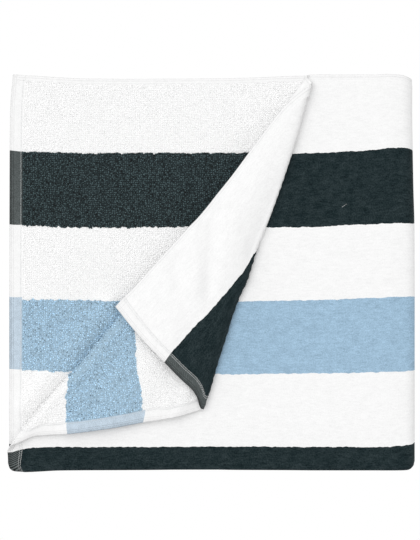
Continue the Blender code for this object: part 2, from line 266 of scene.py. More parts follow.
# The first roll bows to the right between its ends: from start to end, and how far by share
BOWS = table(
    "share shift",
    (0, 0),
    (0.036, 3.6),
    (0.08, 4),
    (0.18, 5.9),
    (0.3, 8.3),
    (0.4, 8.6),
    (0.6, 8.4),
    (0.8, 7.4),
    (0.93, 3.8),
    (1, 0),
)
FIRST_ROLL_START, FIRST_ROLL_END = (-231.7, -206.3), (112.5, 224.0)
BOW_NEAR, BOW_FAR = 6.0, 70.0  # distances right of the roll over which the bow fades out
BAND_END = 172.0  # the line, by its place on the hem, where the band and its roll end
BOW_TO_HEM = 215.0  # the line by which the bow has set in from there
SELVEDGE_STRAY_REACH = 70.0  # how far along the hem the selvedge's straying reaches
ROLL_HEM, ROLL_STRAY_REACH = 155.0, 60.0
DROOP = -13.0  # how far towards the near side the pleat starts from the selvedge
DROOP_POWER = 8  # it is gathered at the pleat's start
PINCH_POWER = 6  # it is pushed together in the last part of its line
# Soft creases given one by one on the layer below and on the band: each one's line, how far it
# reaches to its sides, and how high it is, below 0 for a trough
CREASES_BELOW = table(
    "x1 y1 x2 y2 reach rise",
    (-115, -39.6, -208.9, -153.8, 12, 6.5),
)
CREASES_CORNER = table(
    "x1 y1 x2 y2 reach rise",
    (79, 92.2, 52, 19.1, 15, -9),
    (-21.1, 64.1, -16.6, -22.5, 9, 4.2),
    (5.9, 67.5, -3.1, -20.2, 8, -4.8),
    (-39.1, 11.3, -21.1, -59.5, 9, -3.4),
    (14.9, 80.9, 28.4, 56.2, 8, 2.8),
    (-68.4, -31.5, -43.6, -74.2, 9, 2.2),
)
CREASES_FADE = 30.0  # over which they fade out before the band's end
PUCKER = -7.0  # how far the hem is drawn down where the pleat starts
PUCKER_REACH = 24.0
PUCKER_SIDES = (22.0, 26.0)

# Steps of the sheet: how far apart it is cut where it shows, where it lies hidden, at its edges,
# in its hems, and on both sides of where its pile ends
SHOWN_STEP = 4.0
HIDDEN_STEP = 30.0
EDGE_STEP = 1.0
HEM_STEP = 3.0
HEM_END_STEP, HEM_END_REACH = 0.8, 2.0
SELVEDGE_END_STEP, SELVEDGE_END_REACH = 0.7, 1.0
TURN_CUTS = {OUTER_TURN: 14, INNER_TURN: 10}
NEAR_FOLD_CUTS = 8
PILE_END = 2.6  # over which the pile ends
PROBE = 0.3  # over which the slope of the cloth is read
HALVINGS = 26  # how often the search for a line of the turned-back corner is halved


def number(name, description, default, unit="NONE"):
    return bpy.props.FloatProperty(name=name, description=description, default=default, unit=unit)


def metres(*words):
    return number(*words, unit="LENGTH")


def tint(name, description, hex_colour):
    """A colour setting, from an sRGB hex colour."""
    values = [int(hex_colour[i : i + 2], 16) / 255 for i in (1, 3, 5)]
    linear = [v / 12.92 if v <= 0.04045 else ((v + 0.055) / 1.055) ** 2.4 for v in values]
    return bpy.props.FloatVectorProperty(
        name=name, description=description, subtype="COLOR", size=3, min=0, max=1, default=linear
    )


class TowelCloth(bpy.types.PropertyGroup):
    width: metres("Width", "Width of the towel as woven", 0.9)
    length: metres("Length", "Length from hem to hem", 1.82)
    pile: metres("Pile thickness", "Thickness of the cloth where it has pile", 0.0028)
    flat_weave: metres("Flat thickness", "Thickness of the hems and selvedges", 0.0019)
    hem: metres("Hem", "Width of the turned hem", 0.0149)
    selvedge: metres("Selvedge", "Width of the flat selvedge", 0.0062)


class TowelPile(bpy.types.PropertyGroup):
    loop_spacing: metres("Loop spacing", "From loop to loop", 0.0022)
    loop_height: metres("Loop height", "How far a loop stands up", 0.00055)
    yarn: metres("Yarn", "Thickness of the loops' yarn", 0.0014)
    seed: bpy.props.IntProperty(
        name="Seed", description="Which of the random lays of the loops is made", default=7
    )


class TowelColours(bpy.types.PropertyGroup):
    white: tint("White", "White velour", "#eeeeee")
    charcoal: tint("Charcoal", "Charcoal velour", "#19272a")
    blue: tint("Blue", "Pale blue velour", "#98b5cb")
    looped_white: tint("Looped white", "White loops", "#f8f8f8")
    looped_charcoal: tint("Looped charcoal", "Charcoal loops", "#3b4b4e")
    looped_blue: tint("Looped blue", "Pale blue loops", "#b5d2e6")
    flat_white: tint("Flat white", "White hems", "#eeeeee")
    flat_charcoal: tint("Flat charcoal", "Charcoal hems", "#505656")
    flat_blue: tint("Flat blue", "Pale blue hems", "#bbcad7")
    thread: tint("Thread", "Sewing thread of the hems", "#e4e6e6")


class TowelStage(bpy.types.PropertyGroup):
    sky: number("Sky", "Strength of the even light all round", 0.78)
    daylight: number("Daylight", "Strength of the soft light from one side", 1.17)
    camera_height: metres("Camera height", "Height over the towel", 2.041)


GROUPS = {
    "towel_cloth": TowelCloth,
    "towel_pile": TowelPile,
    "towel_colours": TowelColours,
    "towel_stage": TowelStage,
}


# ------------------------------------------------------------------------ folding, on arrays


def ease(value, start=0, end=1):
    """0 to 1 as a value goes from start to end, with no slope at either."""
    value = np.clip((value - start) / (end - start), 0, 1)
    return value * value * (3 - 2 * value)


def read(rows, places, column):
    """A column of a table at places in its first column, on a curve that never overshoots."""
    x = np.array([row[0] for row in rows], dtype=float)
    y = np.array([getattr(row, column) for row in rows], dtype=float)
    rates = np.diff(y) / np.diff(x)
    before, after = np.append(rates[0], rates), np.append(rates, rates[-1])
    product = before * after
    slopes = np.where(product > 0, 2 * product / np.where(product > 0, before + after, 1), 0)
    places = np.clip(places, x[0], x[-1])
    i = np.clip(np.searchsorted(x, places, side="right") - 1, 0, len(x) - 2)
    span = x[i + 1] - x[i]
    t = (places - x[i]) / span
    eased = ease(t)
    level = (1 - eased) * y[i] + eased * y[i + 1]
    return level + span * ((t**3 - 2 * t**2 + t) * slopes[i] + (t**3 - t**2) * slopes[i + 1])


def read_all(rows, places):
    """All other columns of a table at places in its first column."""
    return [read(rows, places, column) for column in rows[0]._fields[1:]]


def creased(creases, where):
    """How much higher places lie because of soft creases."""
    rise = np.zeros(len(where))
    for crease in creases:
        start, end = np.array((crease.x1, crease.y1)), np.array((crease.x2, crease.y2))
        along = np.clip((where[:, :2] - start) @ (end - start) / math.dist(start, end) ** 2, 0, 1)
        off = where[:, :2] - start - along[:, None] * (end - start)
        rise += crease.rise * np.exp(-(off**2).sum(axis=1) / crease.reach**2)
    return rise


def slipped(slips, x, from_selvedge):
    """How far a place has slipped, read between the stripes' edges on either side of it."""
    moved = dict(zip(slips[0]._fields[1:], read_all(slips, x)))
    rows = np.stack([moved.get(name, np.zeros(len(x))) for name in SLIP_PLACES])
    places = np.array(list(SLIP_PLACES.values()))
    from_selvedge = np.clip(from_selvedge, 0, places[-1])
    i = np.clip(np.searchsorted(places, from_selvedge, side="right") - 1, 0, len(places) - 2)
    share = ease((from_selvedge - places[i]) / (places[i + 1] - places[i]))
    at = np.arange(len(x))
    return rows[i, at] * (1 - share) + rows[i + 1, at] * share


def unit(vectors):
    return vectors / np.linalg.norm(vectors, axis=-1, keepdims=True)


class Fold:
    """Where each place of the flat towel lies once it is folded."""

    def __init__(self, cloth):
        self.width, self.length = cloth.width / MM, cloth.length / MM
        self.half_width = self.width / 2
        self.hem, self.selvedge = cloth.hem / MM, cloth.selvedge / MM
        self.pile, self.flat_weave = cloth.pile / MM, cloth.flat_weave / MM
        self.start_x = RIGHT_TURN_X - FIRST_RUN
        self.pleat_length = 2 * math.pi * SMALL_ROLL + ROLL_GAP
        self.pleat_start = PLEAT_X - self.start_x - self.pleat_length
        self.hem_end = FLAP[-1].hem
        middle = RIGHT_TURN_X - LEFT_TURN_X
        # The path of the doubled cloth, from the hem: length, radius of a turn and way it turns
        self.path = (
            (FIRST_RUN, 0, 0),
            (math.pi * OUTER_TURN, OUTER_TURN, -1),
            (middle, 0, 0),
            (math.pi * INNER_TURN, INNER_TURN, -1),
            (middle, 0, 0),
            (math.pi * INNER_TURN, INNER_TURN, 1),
            (math.inf, 0, 0),
        )

    def past_edges(self, u, v):
        """How far places of the flat towel lie past the nearest hem and selvedge."""
        from_hem, from_selvedge = np.minimum(u, self.length - u), np.minimum(v, self.width - v)
        return np.minimum(from_hem - self.hem, from_selvedge - self.selvedge)

    def half_thickness(self, u, v):
        """Half the thickness of the cloth, thinner where it is woven flat."""
        pile = ease(self.past_edges(u, v) / PILE_END + 0.5)
        return (self.flat_weave + (self.pile - self.flat_weave) * pile) / 2

    def walk(self, u):
        """x, z and the normal of the doubled cloth's middle, at a distance u from the hem."""
        x = np.full(u.shape, self.start_x)
        z = np.full(u.shape, FLOOR_GAP + (LAYERS - 1.5) * PITCH)
        turned = np.zeros(u.shape)
        left = u.astype(float)
        heading = 0.0
        least = -math.inf  # the slanted hem reaches out beyond the path's start
        for length, radius, way in self.path:
            step = np.clip(left, least, length)
            if radius:
                angle = heading + way * step / radius
                x += way * radius * (np.sin(angle) - math.sin(heading))
                z -= way * radius * (np.cos(angle) - math.cos(heading))
                turned = np.where(left > 0, angle, turned)
                heading += way * math.pi
            else:
                x += step * math.cos(heading)
                z += step * math.sin(heading)
            left = left - step
            least = 0
        return x, z, -np.sin(turned), np.cos(turned)

    def below_top(self, u):
        """0 on the top run, 1 once the outer turn is passed."""
        return ease((u - FIRST_RUN) / (math.pi * OUTER_TURN))

    def across(self, v):
        """Offset from the doubled cloth's middle, distance from the near fold, and half."""
        half = np.where(v > self.half_width, 1.0, -1.0)
        along = np.abs(v - self.half_width)
        radius = PITCH / 2
        arc = math.pi / 2 * radius
        angle = np.minimum(along, arc) / radius
        offset = half * radius * np.sin(angle)
        return offset, radius * (1 - np.cos(angle)) + np.maximum(along - arc, 0), half

    def hem_u(self, from_selvedge):
        """Where the top half's hem lies along the towel: further out towards its selvedge."""
        return -HEM_SKEW * (1 - from_selvedge / self.half_width)

    def slanted(self, u, v):
        """Places along the towel, with the top half's hem slanted."""
        slant = self.hem_u(self.width - v) * ease(u, SKEW_TO, SKEW_FROM)
        return np.where(v > self.half_width, u + slant, u)

    def lie_flat(self, u, v):
        """Where a place of the towel lies before its corner is turned back."""
        x, z, normal_x, normal_z = self.walk(u)
        offset, depth, half = self.across(v)
        x = x + offset * normal_x
        z = z + offset * normal_z
        reach = np.clip(depth / self.half_width, 0, 1)
        top = np.where(half > 0, 1 - self.below_top(u), 0)
        near, top_far, others_far, drift = read_all(EDGES, x)
        y = NEAR_FOLD_Y + depth + near
        y -= half * drift * ease((depth - PITCH) / DRIFT_REACH)
        slack = top * top_far + (1 - top) * others_far
        slack += np.where(half > 0, (1 - top) * (2 * drift - LOWER_STEP), 0)
        y += slack * reach**SLACK_POWER
        from_selvedge = np.minimum(v, self.width - v)
        y += top * slipped(TOP_SLIPS, x, from_selvedge)
        y += (1 - top) * slipped(SECOND_SLIPS, x, from_selvedge)
        to_left = ease(x, RIGHT_TURN_X, LEFT_TURN_X)
        x = x + (1 - top) * SET_BACK * to_left * ease(depth / SET_BACK_FROM_FOLD)
        from_middle = (self.width - v) - self.hem_end
        width = np.where(from_middle < 0, *PUCKER_SIDES)
        drawn = (1 - np.clip(u / PUCKER_REACH, 0, 1)) ** 2 * ease(1 - np.abs(from_middle) / width)
        y += np.where(half > 0, PUCKER * drawn, 0)
        return np.stack((x, y, z), axis=-1)

    def pleat(self, foot):
        """x and rise on the selvedge's small S, at a distance foot from its free side."""
        left = self.pleat_length - foot
        half_turn = math.pi * SMALL_ROLL
        first = np.clip(left / SMALL_ROLL, 0, math.pi)
        gap = np.clip(left - half_turn, 0, ROLL_GAP)
        second = np.clip((left - half_turn - ROLL_GAP) / SMALL_ROLL, 0, math.pi)
        x = PLEAT_X + SMALL_ROLL * (np.sin(second) - np.sin(first)) + gap
        return x, SMALL_ROLL * (2 - np.cos(first) - np.cos(second))

    def line_side(self, hem, u, from_selvedge):
        """Above 0 where a place lies on the corner's side of the line to a place of the hem."""
        start = self.pleat_start + read(FLAP, hem, "foot")
        return (self.hem_u(hem) - start) * from_selvedge - hem * (u - start)

    def line_of(self, u, from_selvedge):
        """Hem place and share of the straight line of the turned-back corner through a place.

        Each line runs from the selvedge, where its share is 0, to the hem, where it is 1."""
        low, high = np.zeros(u.shape), np.full(u.shape, self.hem_end)
        for _ in range(HALVINGS):
            hem = (low + high) / 2
            past = self.line_side(hem, u, from_selvedge) > 0
            high = np.where(past, hem, high)
            low = np.where(past, low, hem)
        hem = (low + high) / 2
        start = self.pleat_start + read(FLAP, hem, "foot")
        length = np.hypot(self.hem_u(hem) - start, hem)
        return hem, np.clip(np.hypot(u - start, from_selvedge) / length, 0, 1)

    def in_flap(self, u, v):
        """Whether a place of the sheet is on the turned-back corner."""
        from_selvedge = self.width - v
        inside = self.line_side(np.full(u.shape, self.hem_end), u, from_selvedge) > 0
        free = self.pleat_start + self.pleat_length
        return (v > self.half_width) & (u < free) & (from_selvedge < self.hem_end) & inside

    def bowed(self, where):
        """How far to the right places near the first roll lie because it is bowed."""
        start, end = np.array(FIRST_ROLL_START), np.array(FIRST_ROLL_END)
        length = math.dist(start, end)
        way = (end - start) / length
        from_start = where[:, :2] - start
        distance = from_start[:, 0] * way[1] - from_start[:, 1] * way[0]
        bow = read(BOWS, from_start @ way / length, "shift")
        return bow * ease(distance, BOW_FAR, BOW_NEAR)

    def turned_back(self, u, v):
        """Where a place of the turned-back corner lies."""
        hem, share = self.line_of(u, self.width - v)
        hem_x, hem_y, hem_rise, foot, pinch = read_all(FLAP, hem)
        foot_x, foot_rise = self.pleat(foot)
        selvedge = np.full(u.shape, self.width)
        flat_foot = self.lie_flat(self.pleat_start + foot, selvedge)
        flat_hem = self.lie_flat(self.hem_u(hem), self.width - hem)
        foot_y = self.lie_flat(np.full(u.shape, PLEAT_X - self.start_x), selvedge)[:, 1]
        where = self.lie_flat(u, v)
        where[:, 2] = flat_foot[:, 2]
        # Each place moves by its share of how far the two ends of its line move.
        at_foot = np.stack((foot_x - flat_foot[:, 0], foot_y - flat_foot[:, 1], foot_rise), -1)
        at_hem = np.stack((hem_x - flat_hem[:, 0], hem_y - flat_hem[:, 1], hem_rise), -1)
        where += (1 - share)[:, None] * at_foot + share[:, None] * at_hem
        where[:, 1] += DROOP * (1 - foot / self.pleat_length) * (1 - share) ** DROOP_POWER
        selvedge_stray, roll_stray = read_all(STRAYS, share)
        where[:, 0] += selvedge_stray * ease(1 - hem / SELVEDGE_STRAY_REACH)
        where[:, 0] += roll_stray * ease(1 - np.abs(hem - ROLL_HEM) / ROLL_STRAY_REACH)
        slip = slipped(CORNER_SLIPS, share, self.width - v)
        where[:, 0] += slip * ease((self.hem_end - hem) / CORNER_SLIP_END)
        pinch = pinch * share**PINCH_POWER * (1 - share)
        where[:, 0] += pinch * (hem_x - foot_x)
        where[:, 1] += pinch * (hem_y - foot_y)
        where[:, 0] += ease(hem, BAND_END, BOW_TO_HEM) * self.bowed(where)
        on_band = ease((BAND_END - hem) / CREASES_FADE)
        where[:, 2] += on_band * share * creased(CREASES_CORNER, where)
        return where

    def round_corner(self, where, corner_x, size):
        """Draws both edges in at a near corner, without pressing the layers together."""
        side = math.copysign(1, corner_x)
        from_side = side * (corner_x - where[:, 0])
        from_near = where[:, 1] - NEAR_EDGE
        drawn = [
            size * (1 - np.sqrt(1 - np.clip(1 - distance / size, 0, ROUNDEST) ** 2))
            for distance in (from_near, from_side)
        ]
        where[:, 0] -= side * drawn[0] * ease(1 - from_side / CORNER_REACH)
        where[:, 1] += drawn[1] * ease(1 - from_near / CORNER_REACH)

    def settle(self, where):
        """The uneven outline, the thinner sides and the soft crown of the whole stack."""
        self.round_corner(where, -OUTER_SIDE, CORNER_LEFT)
        self.round_corner(where, OUTER_SIDE, CORNER_RIGHT)
        x, y, z = where.T
        to_right = np.clip((x / OUTER_SIDE + 1) / 2, 0, 1)
        height = np.clip(z / (LAYERS * PITCH), 0, 1)
        left, right = read_all(SIDES, y)
        right = right * (LOWEST_SHARE + (1 - LOWEST_SHARE) * height)
        x = x + (1 - to_right) * left + to_right * right
        middle = np.cos(math.pi * np.clip(x / CROWN_SPAN, -0.5, 0.5))
        middle *= np.cos(math.pi * np.clip(y / CROWN_SPAN, -0.5, 0.5))
        to_left = ease(x, NEAR_LEFT_FROM, NEAR_LEFT_TO)
        near_drop = NEAR_DROP + (NEAR_LEFT_DROP - NEAR_DROP) * to_left
        drop = np.maximum(
            SIDE_DROP * ease(x, SIDE_DROP_FROM, SIDE_DROP_TO),
            near_drop * ease(y, NEAR_DROP_FROM, NEAR_DROP_TO),
        )
        z = z + (z - FLOOR_GAP) * (CROWN * middle - drop)
        return np.stack((x - MIDDLE_X, y - MIDDLE_Y, z), axis=-1)

    def middle_of_cloth(self, u, v):
        """Where the middle of the cloth lies at places of the flat towel."""
        where = self.lie_flat(u, v)
        in_top_run = 1 - self.below_top(u)
        upper = v > self.half_width
        where[:, 0] += np.where(upper, in_top_run, 0) * self.bowed(where)
        where[:, 2] += np.where(upper, 0, in_top_run) * creased(CREASES_BELOW, where)
        on_flap = self.in_flap(u, v)
        if on_flap.any():
            where[on_flap] = self.turned_back(u[on_flap], v[on_flap])
        return self.settle(where)

    def bend(self, u, v, height):
        """Where points lie at a height over the middle of the cloth, and the cloth's frame there:
        along it, across it and out of its velour face."""
        u = self.slanted(u, v)
        first = np.where(v > self.half_width, np.minimum(0, self.hem_u(self.width - v)), 0)
        along = self.middle_of_cloth(u + PROBE, v)
        along -= self.middle_of_cloth(np.maximum(u - PROBE, first), v)
        over = self.middle_of_cloth(u, np.minimum(v + PROBE, self.width))
        over -= self.middle_of_cloth(u, np.maximum(v - PROBE, 0))
        out = unit(np.cross(along, over))
        along = unit(along)
        where = self.middle_of_cloth(u, v) + height[:, None] * out
        return where, along, np.cross(out, along), out


# ------------------------------------------------------------------------------- the cloth


def graded_cuts(marks):
    """Places from the first mark to the last, each stretch cut in steps: (start, step) marks."""
    cuts = []
    for (start, step), (end, _) in zip(marks, marks[1:]):
        pieces = max(1, round((end - start) / step))
        cuts += [start + (end - start) * k / pieces for k in range(pieces)]
    return np.array(cuts + [marks[-1][0]])


def length_cuts(fold):
    """Places along the towel where its sheet is cut."""
    marks = [
        (0.0, EDGE_STEP),
        (HEM_END_REACH, HEM_STEP),
        (fold.hem - HEM_END_REACH, HEM_END_STEP),
        (fold.hem + HEM_END_REACH, SHOWN_STEP),
    ]
    start = 0.0
    for length, radius, _ in fold.path:
        if radius:
            marks += [(start, length / TURN_CUTS[radius]), (start + length, HIDDEN_STEP)]
        start += length
    return graded_cuts(marks + [(fold.length - fold.hem, HEM_STEP), (fold.length, EDGE_STEP)])


def width_cuts(fold):
    """Places across the towel where its sheet is cut."""
    arc = math.pi / 2 * PITCH / 2
    inner, outer = fold.selvedge - SELVEDGE_END_REACH, fold.selvedge + SELVEDGE_END_REACH
    return graded_cuts(
        [
            (0.0, EDGE_STEP),
            (inner, SELVEDGE_END_STEP),
            (outer, SHOWN_STEP),
            (fold.half_width - arc, 2 * arc / NEAR_FOLD_CUTS),
            (fold.half_width + arc, SHOWN_STEP),
            (fold.width - outer, SELVEDGE_END_STEP),
            (fold.width - inner, EDGE_STEP),
            (fold.width, EDGE_STEP),
        ]
    )


def mesh_of(shape, name):
    """The mesh of a shape that is ready."""
    mesh = bpy.data.meshes.new(name)
    shape.to_mesh(mesh)
    shape.free()
    return mesh


def slab(u_cuts, v_cuts):
    """The towel laid out flat, 2 units thick, with its middle cut too."""
    sheet = bmesh.new()
    columns, rows = len(u_cuts) - 1, len(v_cuts) - 1
    bmesh.ops.create_grid(sheet, x_segments=columns, y_segments=rows, size=0.5)
    for vert in sheet.verts:
        u = u_cuts[round((vert.co.x + 0.5) * columns)]
        v = v_cuts[round((vert.co.y + 0.5) * rows)]
        vert.co = (u, v, 0)
    bmesh.ops.solidify(sheet, geom=sheet.faces[:], thickness=2)
    bmesh.ops.bisect_plane(
        sheet,
        geom=sheet.verts[:] + sheet.edges[:] + sheet.faces[:],
        plane_co=(0, 0, sum(v.co.z for v in sheet.verts) / len(sheet.verts)),
        plane_no=(0, 0, 1),
    )
    bmesh.ops.recalc_face_normals(sheet, faces=sheet.faces)
    return sheet


def new_piece(name, mesh):
    piece = bpy.data.objects.new(name, mesh)
    bpy.context.scene.collection.objects.link(piece)
    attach(piece, ROOT)
    return piece


def write(mesh, name, kind, key, values):
    """Keeps values of each point for the materials."""
    attribute = mesh.attributes.new(name, kind, "POINT")
    attribute.data.foreach_set(key, values.astype(np.float32).ravel())


def coordinates(mesh):
    values = np.zeros(len(mesh.vertices) * 3)
    mesh.vertices.foreach_get("co", values)
    return values.reshape(-1, 3)


def add_cloth_materials(mesh, fold, flat):
    """Velour on one face, the ground of the terry on the other, flat weave at the edges."""
    for material in (velour(), terry_ground_painted_shade(), flat_weave()):
        mesh.materials.append(material)
    u, v, side = np.array([flat[list(face.vertices)].mean(axis=0) for face in mesh.polygons]).T
    slots = np.where(fold.past_edges(u, v) < 0, 2, np.where(side > 0, 0, 1))
    mesh.polygons.foreach_set("material_index", slots.astype(np.int32))


class TOWEL_OT_cloth(bpy.types.Operator):
    """Cuts and folds the cloth of the towel"""

    bl_idname = "towel.cloth"
    bl_label = "Cloth"

    def execute(self, context):
        cloth = context.scene.towel_cloth
        fold = Fold(cloth)
        mesh = mesh_of(slab(length_cuts(fold), width_cuts(fold)), "towel_cloth")
        flat = coordinates(mesh)
        flat[:, 2] -= flat[:, 2].mean()  # from -1 on the terry face to 1 on the velour face
        u, v, side = flat.T
        where = fold.bend(u, v, side * fold.half_thickness(u, v))[0]
        mesh.vertices.foreach_set("co", (where * MM).ravel())
        write(mesh, "flat", "FLOAT_VECTOR", "vector", flat * MM)
        add_cloth_materials(mesh, fold, flat)
        mesh.shade_smooth()
        mesh.update()
        piece = new_piece("towel_cloth", mesh)
        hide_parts(CAD_NODE)
        return {"FINISHED"}


# ------------------------------------------------------------------------------- materials

SPECULAR, SHEEN_ROUGHNESS = 0.25, 0.45
BRIGHTNESS = (0.21, 0.72, 0.07)  # how much red, green and blue each add to it
NOISE_SPAN = (0.3, 0.7)  # what most of a noise lies in
# Sizes are in metres. How much each pattern mottles its colour has two numbers, the colour's own
# share and a fixed one, which shows most on dark colours.
STRIPE_WAVES = 0.006  # of the waves in the stripes' edges
VELOUR_WAVER, TERRY_WAVER = 0.003, 0.006  # how far they reach
ROW_SIZE, ROW_STRETCH, ROW_SHADE, ROW_MOTTLE = 0.0018, (0.25, 1, 1), (0.9965, 1.0035), (0.35, 0.01)
PATCH_SIZE, PATCH_MOTTLE = 0.011, (0.22, 0.01)
PILE_SIZE, PILE_MOTTLE = 0.0013, (0.6, 0.02)
ROW_RELIEF = 0.6
# How strongly the loops' painted light and shade shows
LOOP_PAINTED_SHADING = (1.15, 0.012)
GROUND_SIZE, GROUND_SHADE, GROUND_RELIEF = 0.0012, (0.95, 1.0), 0.0004
# Painted shade: the ground's colour is darkened to stand for the shade in the gaps under the loops
GAP_SHADE_AMOUNT, GAP_SHADE_MOTTLE = 0.15, (0.95, 0.0)  # how dark it lies under the loops
PLY_SIZE, PLY_SHADE = 0.0005, (0.85, 1.05)
# The twill of the hems: how far its ribs slant, from rib to rib, drawn coarser than woven so that
# they show, and how strong they are on each face
RIB_SLANT, RIB_SIZE, RIB_MOTTLE, RIB_RELIEF = 0.55, 0.003, (0.9, 0.02), 0.4
RIBS_ON_VELOUR, RIBS_ON_TERRY = 0.8, 0.1
# They open where the hem is stretched round the lengthwise fold, and the hem is darker there,
# partly from the opened ribs and partly as painted shade where it rounds over the fold.
OPEN_REACH = 0.07
OPEN_STRENGTH, CLOSED_STRENGTH = 1.15, 0.25
OPEN_SHADED_TONE, CLOSED_TONE = 0.34, 0.48
GRAIN_SIZE, GRAIN_MOTTLE = 0.0009, (0.9, 0.03)
BLOTCH_SIZE, BLOTCH_MOTTLE = 0.006, (0.4, 0.0)
# Darker lines of the flat weave, partly painted shade at the rolled edge, along the seam and where
# the pile begins, and partly the ridges and weave lines of the turned edge: how far from the edge,
# and how far each reaches to either side
HEM_SHADE_LINES = ((0.0, 0.0028), (0.0026, 0.0006), (0.0046, 0.0005), (0.0147, 0.0006))
SELVEDGE_SHADE_LINES = ((0.0, 0.0008), (0.0028, 0.0005), (0.0061, 0.0006))
SHADE_LINE_MOTTLE, LINE_SHADE = (0.75, 0.0), 0.012
WEAVE_RELIEF = 0.00012


class Cotton:
    """A cotton material, with the nodes that make its pattern on the flat towel."""

    def __init__(self, name, roughness, sheen):
        self.material = bpy.data.materials.new(name)
        self.material.use_nodes = True
        self.tree = self.material.node_tree
        self.shader = self.tree.nodes["Principled BSDF"]
        self.shader.inputs["Roughness"].default_value = roughness
        self.shader.inputs["Specular IOR Level"].default_value = SPECULAR
        self.shader.inputs["Sheen Weight"].default_value = sheen
        self.shader.inputs["Sheen Roughness"].default_value = SHEEN_ROUGHNESS
        self.place = self.add("ShaderNodeAttribute", attribute_name="flat").outputs["Vector"]

    def add(self, kind, inputs=None, **settings):
        """Adds a node with its settings, its inputs' values and the links to them."""
        node = self.tree.nodes.new(kind)
        for name, value in settings.items():
            setattr(node, name, value)
        for name, value in (inputs or {}).items():
            if isinstance(value, bpy.types.NodeSocket):
                self.tree.links.new(value, node.inputs[name])
            else:
                node.inputs[name].default_value = value
        return node

    def maths(self, operation, *values, clamp=False):
        inputs = dict(enumerate(values))
        return self.add("ShaderNodeMath", inputs, operation=operation, use_clamp=clamp).outputs[0]

    def vector(self, operation, *values, output="Vector"):
        inputs = dict(enumerate(values))
        return self.add("ShaderNodeVectorMath", inputs, operation=operation).outputs[output]

    def scaled(self, colour, factor):
        inputs = {0: colour, "Scale": factor}
        return self.add("ShaderNodeVectorMath", inputs, operation="SCALE").outputs[0]

    def mottled(self, colour, amount, depth, fleck):
        """A colour varied by an amount that is 0.5 on average, less the nearer it is to white.

        depth varies a colour by its own strength, and fleck by a fixed amount, which shows most in
        a dark one."""
        centred = self.maths("MULTIPLY_ADD", amount, 2.0, -1.0)
        brightness = self.vector("DOT_PRODUCT", colour, BRIGHTNESS, output="Value")
        centred = self.maths("MULTIPLY", centred, self.maths("SUBTRACT", 1.0, brightness))
        swing = self.vector("MULTIPLY_ADD", colour, (depth,) * 3, (fleck,) * 3)
        varied = self.vector("ADD", colour, self.scaled(swing, centred))
        return self.vector("MAXIMUM", varied, (0, 0, 0))

    def noise(self, size, detail=2.0, stretch=(1, 1, 1)):
        """Noise on the flat towel, in patches of a size."""
        mapped = self.add("ShaderNodeMapping", {"Vector": self.place, "Scale": stretch})
        inputs = {"Vector": mapped.outputs[0], "Scale": 1 / size, "Detail": detail}
        return self.add("ShaderNodeTexNoise", inputs).outputs["Fac"]

    def parts(self):
        return self.add("ShaderNodeSeparateXYZ", {0: self.place}).outputs

    def stripes(self, column, kind, waver):
        """The stripe's colour of one kind at a place, with edges that waver."""
        half_width = bpy.context.scene.towel_cloth.width / 2
        colours = bpy.context.scene.towel_colours
        from_middle = self.maths("SUBTRACT", self.parts()["Y"], half_width)
        from_selvedge = self.maths("SUBTRACT", half_width, self.maths("ABSOLUTE", from_middle))
        if waver:
            centred = self.maths("SUBTRACT", self.noise(STRIPE_WAVES), 0.5)
            shift = self.maths("MULTIPLY", centred, waver)
            from_selvedge = self.maths("ADD", from_selvedge, shift)
        share = self.maths("DIVIDE", from_selvedge, half_width)
        ramp = self.add("ShaderNodeValToRGB", {"Fac": share})
        ramp.color_ramp.interpolation = "CONSTANT"
        points = ramp.color_ramp.elements
        start = 0.0
        for i, stripe in enumerate(STRIPES):
            point = points[i] if i < 2 else points.new(start)
            point.position = start
            point.color = (*getattr(colours, kind + stripe.colour), 1)
            start = min(1.0, getattr(stripe, column) * MM / half_width)
        return ramp.outputs["Color"]

    def shaded(self, colour, amount, low, high):
        """A colour made darker or lighter, from low to high times itself."""
        least, most = NOISE_SPAN
        ends = {"From Min": least, "From Max": most, "To Min": low, "To Max": high}
        factor = self.add("ShaderNodeMapRange", {"Value": amount, **ends})
        return self.scaled(colour, factor.outputs[0])

    def near(self, distance, place, reach):
        """1 where a distance is the one of a line, fading to 0 on both sides of it."""
        off = self.maths("ABSOLUTE", self.maths("SUBTRACT", distance, place))
        return self.maths("SUBTRACT", 1.0, self.maths("DIVIDE", off, reach), clamp=True)

    def done(self, colour, height=None, distance=0.0):
        """The material, once it has its colour and its relief."""
        self.tree.links.new(colour, self.shader.inputs["Base Color"])
        if height is not None:
            bump = self.add("ShaderNodeBump", {"Height": height, "Distance": distance})
            self.tree.links.new(bump.outputs[0], self.shader.inputs["Normal"])
        return self.material


def velour():
    """Sheared cotton pile: matt and dense, in fine rows along the towel that catch the light."""
    cotton = Cotton("sheared cotton velour", roughness=0.95, sheen=0.05)
    rows = cotton.noise(ROW_SIZE, stretch=ROW_STRETCH)
    pile = cotton.noise(PILE_SIZE)
    patches = cotton.noise(PATCH_SIZE, detail=3.0)
    colour = cotton.stripes("velour", "", VELOUR_WAVER)
    colour = cotton.shaded(colour, rows, *ROW_SHADE)
    for amount, mottle in ((rows, ROW_MOTTLE), (patches, PATCH_MOTTLE), (pile, PILE_MOTTLE)):
        colour = cotton.mottled(colour, amount, *mottle)
    relief = cotton.maths("ADD", cotton.maths("MULTIPLY", rows, ROW_RELIEF), pile)
    return cotton.done(colour, relief, WEAVE_RELIEF)


def terry_ground_painted_shade():
    """The woven ground under the loops, seen only in the gaps between them, its colour darkened as
    painted shade of those gaps.
    """
    cotton = Cotton("terry ground with painted shade", roughness=0.95, sheen=0.0)
    colour = cotton.stripes("terry", "looped_", TERRY_WAVER)
    # Painted shade: darkened as the shade that falls between the loops
    colour = cotton.mottled(colour, GAP_SHADE_AMOUNT, *GAP_SHADE_MOTTLE)
    weave = cotton.noise(GROUND_SIZE)
    return cotton.done(cotton.shaded(colour, weave, *GROUND_SHADE), weave, GROUND_RELIEF)


